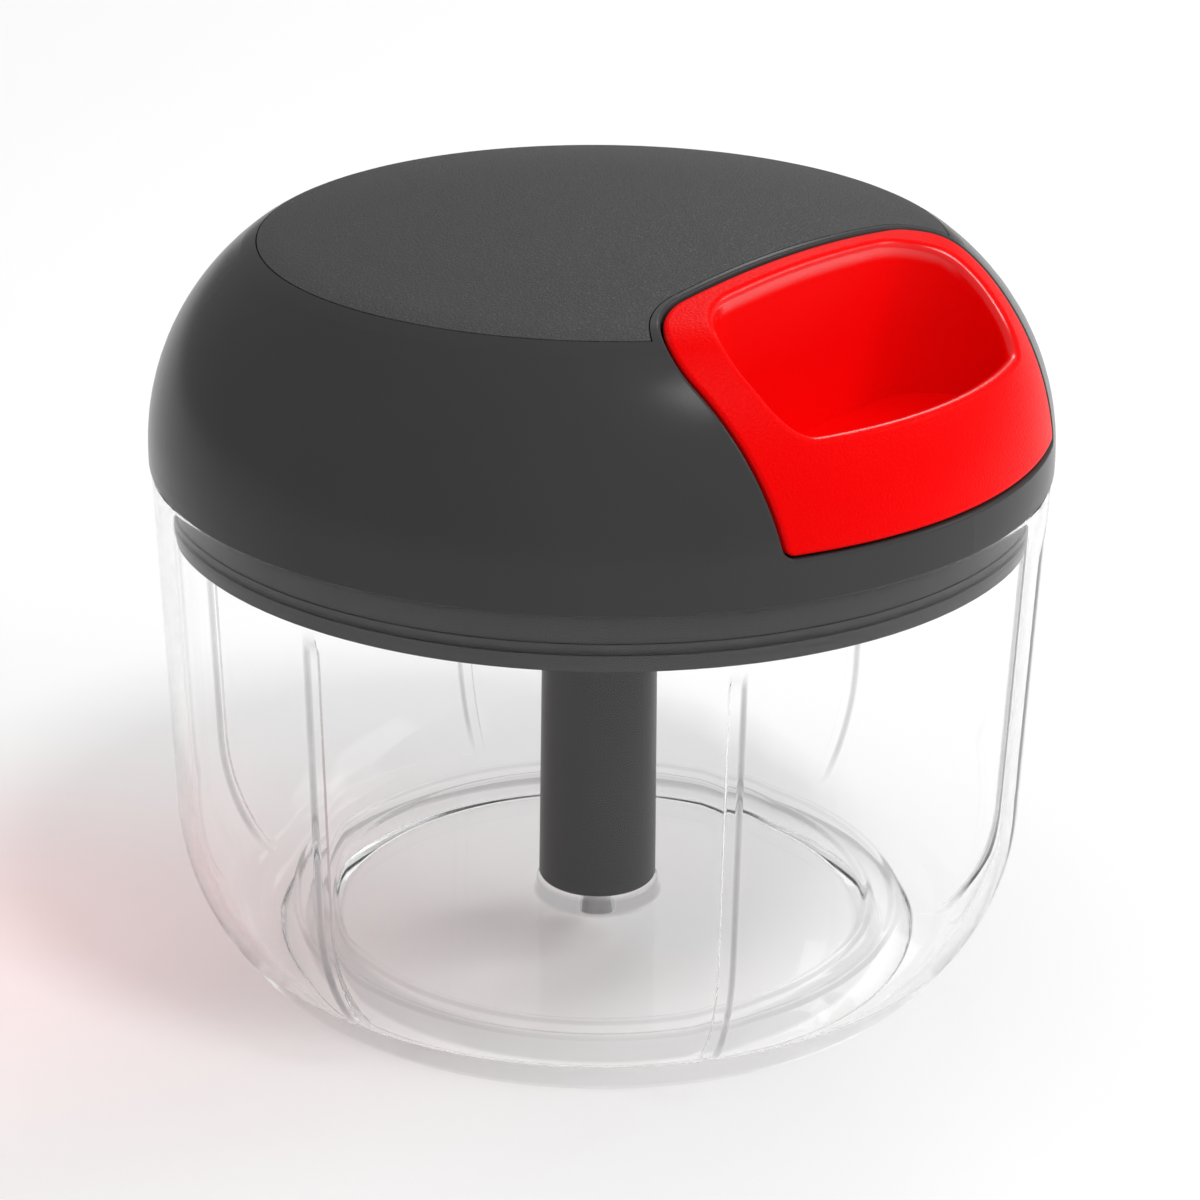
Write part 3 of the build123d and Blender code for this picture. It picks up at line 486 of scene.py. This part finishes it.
def dress(piece, material):
    """Put one material into every slot of a piece."""
    if not piece.material_slots:
        piece.data.materials.append(material)
    for slot in piece.material_slots:
        slot.link = "OBJECT"
        slot.material = material


slot_of = {row["node"]: row["material_slot"] for row in frame["record"]["subparts"]}
for name, node in frame["nodes"].items():
    dress(node, OWN_FINISHES.get(name, FINISHES[slot_of[name]]))
print("dressed", len(slot_of), "solids with", sorted(FINISHES))

# %% [markdown]
# ## Surfaces from arrays
#
# The new pieces are grids of points: a shape is a function of two parameters, worked out for the whole grid
# at once. `surface` turns such a grid into quads. `tube` carries a circle along a path. `quadratic` and
# `smooth` are the two curves that round corners and let things swell and fade.

# %% Grids
WELD = 0.001 * MM


def surface(name, grid, close_columns=False, uv=None, weld=False, steep=None):
    """Mesh with a quad between each four neighbours of a grid of points (rows, columns, xyz)."""
    rows, columns = grid.shape[:2]
    last = columns if close_columns else columns - 1
    i, j = np.meshgrid(np.arange(rows - 1), np.arange(last), indexing="ij")
    steps = ((0, 0), (0, 1), (1, 1), (1, 0))
    corners = [(i + di) * columns + (j + dj) % columns for di, dj in steps]
    quads = np.stack(corners, axis=-1).reshape(-1, 4)
    mesh = bpy.data.meshes.new(name)
    mesh.from_pydata(grid.reshape(-1, 3), [], quads)
    mesh.polygons.foreach_set("use_smooth", np.ones(len(quads), bool))
    if uv is not None:
        layer = mesh.uv_layers.new(name="UVMap")
        layer.data.foreach_set("uv", uv.reshape(-1, 2)[quads.ravel()].ravel().astype(np.float32))
    if steep is not None:
        mesh.attributes.new("steep", "FLOAT", "POINT").data.foreach_set("value", steep.ravel())
    if weld:
        work = bmesh.new()
        work.from_mesh(mesh)
        bmesh.ops.remove_doubles(work, verts=work.verts, dist=WELD)
        bmesh.ops.recalc_face_normals(work, faces=work.faces)
        work.to_mesh(mesh)
        work.free()
    mesh.update()
    piece = bpy.data.objects.new(name, mesh)
    bpy.context.scene.collection.objects.link(piece)
    print(name, "grid", rows, "by", columns)
    return piece


print("points are welded within", WELD / MM, "mm")

# %% Curves and tubes
TUBE_SIDES = 20


def quadratic(first, middle, last, share):
    """A curve from the first point to the last, which starts and ends in the direction of the middle one.

    With t from 0 to 1 it weighs the points by the square of 1 - t, twice t times 1 - t, and the square of t.
    """
    return (1 - share) ** 2 * first + 2 * share * (1 - share) * middle + share**2 * last


def smooth(x):
    """Three times the square less twice the cube: from 0 to 1, level at both ends."""
    return x * x * (3 - 2 * x)


def distance_along(path):
    """How far each point is along a path: the sum of the steps before it."""
    steps = np.linalg.norm(np.diff(path, axis=0), axis=1)
    return np.concatenate([[0.0], np.cumsum(steps)])


def tube(name, path, radius, length):
    """A circle carried along a path: each ring stands square to the path, turned as little as possible.

    A ring's second direction is the path's direction crossed with a steady upright, so rings don't twist.
    The length goes into the UV map with the turn round the ring, from 0 to 1.
    """
    ahead = np.gradient(path, axis=0)
    ahead /= np.linalg.norm(ahead, axis=1, keepdims=True)
    across = np.cross(ahead, (0.0, 0.0, 1.0))
    across /= np.linalg.norm(across, axis=1, keepdims=True)
    up = np.cross(across, ahead)
    turn = np.linspace(0, 2 * np.pi, TUBE_SIDES + 1)
    ring = np.cos(turn)[None, :, None] * across[:, None] + np.sin(turn)[None, :, None] * up[:, None]
    uv = np.stack(np.broadcast_arrays(length[:, None], turn[None] / (2 * np.pi)), axis=-1)
    return surface(name, path[:, None] + radius * ring, uv=uv)


print("tubes have", TUBE_SIDES, "sides")

# %% [markdown]
# ## The clear bowl
#
# The bowl is a turned wall with six ribs down its inside, a boss for the column's pin, two low ridges round
# its floor and a foot ring below. Clear plastic shows every facet twice, so the bowl gets a dense grid of
# its own: a profile of radius and height goes round the axis, and near a rib the inner wall is pulled
# towards a second profile, the crest of the ribs. The columns crowd together at the ribs and spread out
# between them. At last the attribute `steep` marks the flanks of ribs, ridges, boss and foot for the
# finish.

# %% Bowl wall
RIM_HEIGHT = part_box("bowl")[1].z / MM
DRAFT = math.radians(1.87)
WALL = 2.4
RIB_DEPTH = 1.1
CRADLE_CENTRE = np.array([31.86, 28.7])
CRADLE_RADIUS = 36.0
INNER_CORNER = 4.25
CREST_CORNER = 2.8
OUTER_CORNER = 7.1
FLOOR_TOP = 7.2
FOOT_RISE = 1.6
CORNER_POINTS = 14
CRADLE_POINTS = 36
SIDE_POINTS = 40


def arc(centre, radius, start, end, count):
    """Points of a circle in radius and height, from one angle to another in degrees."""
    angle = np.radians(np.linspace(start, end, count))
    return centre + radius * np.stack([np.cos(angle), np.sin(angle)], axis=1)


def wall_line(inset, corner, floor):
    """The wall from floor to rim: a small corner, the large cradle arc and a straight drafted side.

    The corner touches the floor and the cradle from inside: its centre lies a corner above the floor, and as
    far from the cradle's centre as their radii differ.
    """
    large = CRADLE_RADIUS - inset
    between = large - corner
    meet = -math.asin((CRADLE_CENTRE[1] - floor - corner) / between)
    small = CRADLE_CENTRE + between * np.array([math.cos(meet), math.sin(meet)])
    side = CRADLE_CENTRE + large * np.array([math.cos(DRAFT), -math.sin(DRAFT)])
    climb = np.linspace(0, 1, SIDE_POINTS)[1:, None] * (RIM_HEIGHT - side[1])
    return np.concatenate(
        [
            arc(small, corner, -90, math.degrees(meet), CORNER_POINTS),
            arc(CRADLE_CENTRE, large, math.degrees(meet), -math.degrees(DRAFT), CRADLE_POINTS)[1:],
            side + climb * np.array([math.tan(DRAFT), 1.0]),
        ]
    )


inner_wall = wall_line(WALL, INNER_CORNER, FLOOR_TOP)
rib_crest = wall_line(WALL + RIB_DEPTH, CREST_CORNER, FLOOR_TOP)
outer_wall = wall_line(0.0, OUTER_CORNER, FOOT_RISE)[::-1]
print("wall of", len(inner_wall), "points, up to", round(RIM_HEIGHT, 2), "mm")

# %% Bowl floor, foot and rim
BORE_RADIUS = 2.55
BORE_FLOOR = 3.6
BOSS_RADIUS = 10.0
BOSS_TOP = 10.1
BOSS_END = 12.0
RIDGE_RADII = (44.4, 48.9)
RIDGE_RISE = 0.35
RIDGE_HALF_WIDTH = 1.3
RIDGE_POINTS = 17
FOOT_NECK = 52.2
FOOT_OUTSIDE = 51.8
FOOT_INSIDE = 47.2
HOLLOW_RADIUS = 42.5
HOLLOW = 2.6
RIM_ROUNDING = 0.6
ROUNDING_POINTS = 6


def rounded(corners):
    """A path of radius and height through corners, each given as radius, height and the size of its rounding.

    A rounding is a quadratic curve, from where a circle of that size touches one side to where it touches the
    next.
    """
    corners = np.array(corners, float)
    share = np.linspace(0, 1, ROUNDING_POINTS)[:, None]
    path = [corners[:1, :2]]
    for before, here, after in zip(corners[:-2], corners[1:-1], corners[2:]):
        back, ahead = ((p - here)[:2] / np.linalg.norm((p - here)[:2]) for p in (before, after))
        reach = here[2] / math.tan(math.acos(np.clip(back @ ahead, -1, 1)) / 2)
        path.append(quadratic(here[:2] + reach * back, here[:2], here[:2] + reach * ahead, share))
    path.append(corners[-1:, :2])
    return np.concatenate(path)


def ring_ridge(radius):
    """A low ridge that runs round the floor: its height over its width is one wave of a cosine."""
    aside = np.linspace(-1, 1, RIDGE_POINTS)
    rise = RIDGE_RISE * (1 + np.cos(np.pi * aside)) / 2
    return np.stack([radius + RIDGE_HALF_WIDTH * aside, FLOOR_TOP + rise], axis=1)


boss_path = rounded(
    [
        (0, BORE_FLOOR, 0),
        (BORE_RADIUS, BORE_FLOOR, 0.3),
        (BORE_RADIUS, BOSS_TOP, 0.3),
        (BOSS_RADIUS, BOSS_TOP, 0.8),
        (BOSS_RADIUS, FLOOR_TOP, 0.7),
        (BOSS_END, FLOOR_TOP, 0),
    ]
)
foot_path = rounded(
    [
        (*outer_wall[-1], 0),
        (FOOT_NECK, FOOT_RISE, 0.3),
        (FOOT_OUTSIDE, 0, 0.9),
        (FOOT_INSIDE, 0, 2.0),
        (HOLLOW_RADIUS, HOLLOW, 3.0),
        (0, HOLLOW, 0),
    ]
)
rim_path = rounded(
    [
        (*inner_wall[-2], 0),
        (*inner_wall[-1], RIM_ROUNDING),
        (*outer_wall[0], RIM_ROUNDING),
        (*outer_wall[1], 0),
    ]
)
floor_path = np.concatenate([boss_path, *map(ring_ridge, RIDGE_RADII), inner_wall[:1]])
print("points of floor", len(floor_path), "foot", len(foot_path), "rim", len(rim_path))

# %% Columns round the bowl
RIB_ANGLES = np.radians([32.7, 87.3, 152.7, 207.3, 272.7, 327.3])
RIB_COUNT = len(RIB_ANGLES)
RIB_EDGE = 0.5
RIB_COLUMNS = 33
GAP_COLUMNS = 16

# Each rib has columns from -1 to 1 across it. Between two ribs, columns go evenly from the one to the next.
across = np.linspace(-1, 1, RIB_COLUMNS)
gap = np.linspace(0, 1, GAP_COLUMNS + 2)[1:-1]
next_rib = np.append(RIB_ANGLES[1:], RIB_ANGLES[0] + 2 * np.pi)
at_rib = np.repeat(RIB_ANGLES[:, None], RIB_COLUMNS, axis=1)
between_ribs = RIB_ANGLES[:, None] + gap * (next_rib - RIB_ANGLES)[:, None]
middle = np.concatenate([at_rib, between_ribs], axis=1).ravel()
aside = np.tile(np.concatenate([across, 1 - 2 * gap]), RIB_COUNT)

# A rib swells smoothly over its edge, and its flank is steepest halfway up.
edge = np.clip((1 - abs(across)) / RIB_EDGE, 0, 1)
swell = np.tile(np.concatenate([smooth(edge), 0 * gap]), RIB_COUNT)
flank = np.tile(np.concatenate([4 * edge * (1 - edge), 0 * gap]), RIB_COUNT)
print("columns", len(middle), "for", RIB_COUNT, "ribs")

# %% Bowl grid
RIB_HALF_WIDTH = 1.45
RIB_HOLD_RADIUS = 50.0
RIB_TOP = 74.0
RIB_FADE = 2.6

# The wall goes towards the crest by the rib's swell, which fades out at the top of the ribs.
outside = [rim_path, outer_wall[2:], foot_path[1:]]
wall = np.concatenate([floor_path[:-1], inner_wall[:-2], *outside])
crest = np.concatenate([floor_path[:-1], rib_crest[:-2], *outside])
fade = np.clip((RIB_TOP - wall[:, 1]) / RIB_FADE, 0, 1)
pull = smooth(fade)[:, None] * swell[None]
radius_height = wall[:, None] + pull[..., None] * (crest - wall)[:, None]
radius, height = radius_height[..., 0], radius_height[..., 1]

# A rib is as wide at all heights. Within the hold radius, its columns run straight to the axis.
theta = middle[None] + RIB_HALF_WIDTH * aside[None] / np.maximum(wall[:, :1], RIB_HOLD_RADIUS)
bowl_grid = MM * np.stack([radius * np.cos(theta), radius * np.sin(theta), height], axis=-1)
print("bowl profile of", len(wall), "points")

# %% Bowl with its steep places
RIDGE_START = 40.0
RIDGE_LINE = 0.8
BOSS_BAND = 1.2
BOSS_LINE = 0.9
FOOT_LINE = 0.9
RIB_LINE = 0.85
RIB_RUNOUT = 5.0

# The tilt is the height's share of a step along the profile. It counts on the ridges, the boss and the foot.
run = np.gradient(wall, axis=0)
tilt = abs(run[:, 1]) / np.linalg.norm(run, axis=1)
row = np.arange(len(wall))
wall_start = len(floor_path) - 1
on_floor = row < wall_start
on_wall = (row >= wall_start) & (row < wall_start + len(inner_wall) - 2)
on_foot = row > len(wall) - len(foot_path)
on_ridge = on_floor & (wall[:, 0] > RIDGE_START)
on_boss = on_floor & (abs(wall[:, 0] - BOSS_RADIUS) < BOSS_BAND)
turned = tilt * (RIDGE_LINE * on_ridge + BOSS_LINE * on_boss + FOOT_LINE * on_foot)

# The ribs' flanks count on the inner wall, and run out above the floor.
upright = RIB_LINE * on_wall * fade * np.clip((wall[:, 1] - FLOOR_TOP) / RIB_RUNOUT, 0, 1)
# Where steep is high, the clear finish paints grey shade lines into the base colour.
steep = np.maximum(turned[:, None], upright[:, None] * flank[None])
clear_bowl = surface("clear_bowl", bowl_grid, close_columns=True, weld=True, steep=steep)
dress(clear_bowl, clear_skin)
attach(clear_bowl, "bowl")
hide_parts("bowl")

# %% [markdown]
# ## The cord and the spring
#
# The cord lies on the drum in four turns and leaves it towards the handle. The run from the drum to the
# handle gets longer when the handle is pulled: its last stretch is drawn out between the lid and the
# handle. That stretch has many rings and the braid's full pulled length, so that it looks right when it is
# out. The spring that winds the cord back is a flat ribbon, a thin section carried round a spiral.

# %% Cord sizes
CORD_RADIUS = 1.0 * MM
CORD_PITCH = 2.5 * MM
CORD_TURNS = 4
WINDING_RADIUS = 19.1 * MM
CORD_GUIDE = 29.5 * MM
pull_low, pull_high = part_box("pull_cord")
CORD_HEIGHT = (pull_low.z + pull_high.z) / 2
PULL_LENGTH = next(joint["range_m"][1] for joint in frame["joints"] if joint["name"] == "handle_pull")
leaves = -math.acos(WINDING_RADIUS / CORD_GUIDE)
print("cord leaves the drum at", round(math.degrees(leaves), 1), "degrees, pull", PULL_LENGTH, "m")

# %% Turns on the drum
TURN_POINTS = 120

# A helix that ends where the cord leaves the drum, and sinks by one pitch with each turn back.
turn = np.linspace(-2 * np.pi * CORD_TURNS, 0, TURN_POINTS * CORD_TURNS)
winding = np.stack(
    [
        WINDING_RADIUS * np.cos(leaves + turn),
        WINDING_RADIUS * np.sin(leaves + turn),
        CORD_HEIGHT + CORD_PITCH * turn / (2 * np.pi),
    ],
    axis=1,
)
drum_cord = tube("drum_cord", winding, CORD_RADIUS, distance_along(winding))
dress(drum_cord, FINISHES["cord_fabric"])
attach(drum_cord, "reel")
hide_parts("wound_cord")

# %% Run from the drum to the handle
BEND_START = 0.8
LEAD_POINTS = 40
STRETCH_POINTS = 240

# The run goes straight from the drum to the guide, bends there to the eyelet, and goes on to the handle.
drum_point = np.array([WINDING_RADIUS * math.cos(leaves), WINDING_RADIUS * math.sin(leaves), CORD_HEIGHT])
guide_point = np.array([CORD_GUIDE, 0.0, CORD_HEIGHT])
eyelet_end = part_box("cord_eyelet")[1].x
anchor_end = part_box("cord_anchor")[1].x
bend = np.linspace(0, 1, LEAD_POINTS)[:, None]
toward = drum_point + (guide_point - drum_point) * BEND_START
beyond = np.array([eyelet_end, 0.0, CORD_HEIGHT])
lead = quadratic(toward, guide_point, beyond, bend)
drawn = np.linspace(0, 1, STRETCH_POINTS)[1:]
outward = eyelet_end + (anchor_end - eyelet_end) * drawn
stretch = np.stack([outward, 0 * drawn, CORD_HEIGHT + 0 * drawn], axis=1)
route = np.concatenate([drum_point[None], lead, stretch])

# The braid of the last stretch is counted at its pulled length.
run_length = distance_along(route)
run_length[-len(drawn):] += PULL_LENGTH * smooth(drawn)
pull_run = tube("pull_run", route, CORD_RADIUS, run_length)
dress(pull_run, FINISHES["cord_fabric"])
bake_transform(pull_run)
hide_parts("pull_cord")

# %% Spiral return spring
SPRING_TURNS = 7
SPRING_THICKNESS = 0.4 * MM
SPRING_INSIDE = 7.0 * MM
SPRING_POINTS = 900
SPRING_SECTION = np.array([(-0.5, 0), (0.5, 0), (0.5, 1), (-0.5, 1)])

# The spiral's radius grows evenly with its angle. The section stands across it, from foot to top.
spring_low, spring_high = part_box("return_spring")
spring_outside = spring_high.y - SPRING_THICKNESS / 2
share = np.linspace(0, 1, SPRING_POINTS)
spiral = SPRING_INSIDE + (spring_outside - SPRING_INSIDE) * share
angle = 2 * np.pi * SPRING_TURNS * share
reach = spiral[:, None] + SPRING_THICKNESS * SPRING_SECTION[None, :, 0]
level = spring_low.z + (spring_high.z - spring_low.z) * SPRING_SECTION[None, :, 1]
sides = [reach * np.cos(angle)[:, None], reach * np.sin(angle)[:, None], np.broadcast_to(level, reach.shape)]
spring = surface("spiral_spring", np.stack(sides, axis=-1), close_columns=True)
dress(spring, FINISHES["steel"])
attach(spring, "lid")
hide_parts("return_spring")

# %% [markdown]
# ## The stage and the light
#
# The chopper stands on a pale table that fades into the white room far away. A key box above the camera
# draws the highlight on the dome. A big box at the right makes the long soft shadow on the left. It isn't
# mirrored, because its picture would cover the clear wall. A smaller box beside it gives the handle its
# sheen, one behind lights the far edges, and a weak red card warms the table at the left. The rest is even
# light from the room, which is dimmer in mirrors, so that the dark plastic stays dark.

# %% Table
TABLE_SIZE = 6.0
TABLE_DROP = 0.05 * MM
TABLE_FADE = (0.5, 1.3)
TABLE_SHADE = (0.955, 0.955, 0.955)


def pale_table():
    """A pale matt table with a trace of cloud in it. To the camera it fades into the white room far away."""
    finish = Finish("pale_table", specular_ior_level=0.1)
    finish.wear(TABLE_SHADE, roughness=0.8, spread=0.005, drift=0.02, scale=3.0)
    away = finish.vector_maths("LENGTH", finish.place(), output="Value")
    finish.let_through(finish.ease(away, *TABLE_FADE) * finish.ray("Camera"))
    return finish.material


half = TABLE_SIZE / 2
table_grid = np.array([[(-half, -half, 0), (half, -half, 0)], [(-half, half, 0), (half, half, 0)]], float)
table = surface("table", table_grid - (0, 0, TABLE_DROP))
dress(table, pale_table())

# %% World
ROOM_LIGHT = (1.0, 0.999, 0.998, 1)
ROOM_STRENGTH = 0.64
ROOM_MIRRORED = 0.24

world = bpy.data.worlds.new("studio")
bpy.context.scene.world = world
world.use_nodes = True
sky = Tree(world.node_tree)
room = sky.graph.nodes["Background"]
seen = sky.maths("MAXIMUM", sky.ray("Camera"), sky.ray("Transmission"))
dimmed = (ROOM_STRENGTH - ROOM_MIRRORED) * sky.ray("Glossy") * (1 - seen)
sky.feed(room.inputs["Color"], ROOM_LIGHT)
sky.feed(room.inputs["Strength"], ROOM_STRENGTH + (1 - ROOM_STRENGTH) * seen - dimmed)
print("room light", ROOM_STRENGTH, "and", ROOM_MIRRORED, "in mirrors")

# %% Soft boxes
AIM = Vector((0, 0, 0.06))
VIEW_RIGHT = Vector((math.cos(CAMERA_TURN), math.sin(CAMERA_TURN), 0))
VIEW_AHEAD = Vector((-math.sin(CAMERA_TURN), math.cos(CAMERA_TURN), 0))
WHITE = (1.0, 1.0, 1.0)
WARM_RED = (1.0, 0.1, 0.1)


def from_view(right, ahead, up):
    """A place given by its distance to the right of, behind and above the middle of the chopper."""
    return AIM + right * VIEW_RIGHT + ahead * VIEW_AHEAD + Vector((0, 0, up))


def soft_box(name, place, size, power, shade=WHITE, aim=AIM, mirrored=True, spread=180):
    """A rectangular lamp that faces a point. One that isn't mirrored leaves no reflection on the pieces."""
    lamp = bpy.data.lights.new(name, "AREA")
    lamp.shape = "RECTANGLE"
    lamp.size, lamp.size_y = size
    lamp.energy = power
    lamp.color = shade
    lamp.spread = math.radians(spread)
    holder = bpy.data.objects.new(name, lamp)
    holder.location = place
    holder.rotation_euler = (aim - place).to_track_quat("-Z", "Y").to_euler()
    holder.visible_glossy = mirrored
    bpy.context.scene.collection.objects.link(holder)
    print(name, [round(x, 2) for x in holder.location], power, "W")


soft_box("key_box", from_view(0.65, -0.67, 1.77), size=(0.3, 0.45), power=10.0)
soft_box("side_box", from_view(1.7, 0.0, 1.06), size=(1.8, 0.8), power=13.0, mirrored=False)
soft_box("sheen_box", from_view(1.5, 0.4, 1.0), size=(0.5, 0.5), power=4.0)
soft_box("back_box", from_view(0.395, 1.526, 1.231), size=(0.4, 0.7), power=4.0)
soft_box(
    "warm_card",
    from_view(-0.25, 0.0, 0.1),
    size=(0.06, 0.06),
    power=0.008,
    shade=WARM_RED,
    aim=from_view(-0.105, -0.01, -0.06),
    mirrored=False,
    spread=40,
)

# %% [markdown]
# ## Colours as written
#
# The Standard view shows colours as they are mixed.

# %% Finish
bpy.context.scene.view_settings.view_transform = "Standard"
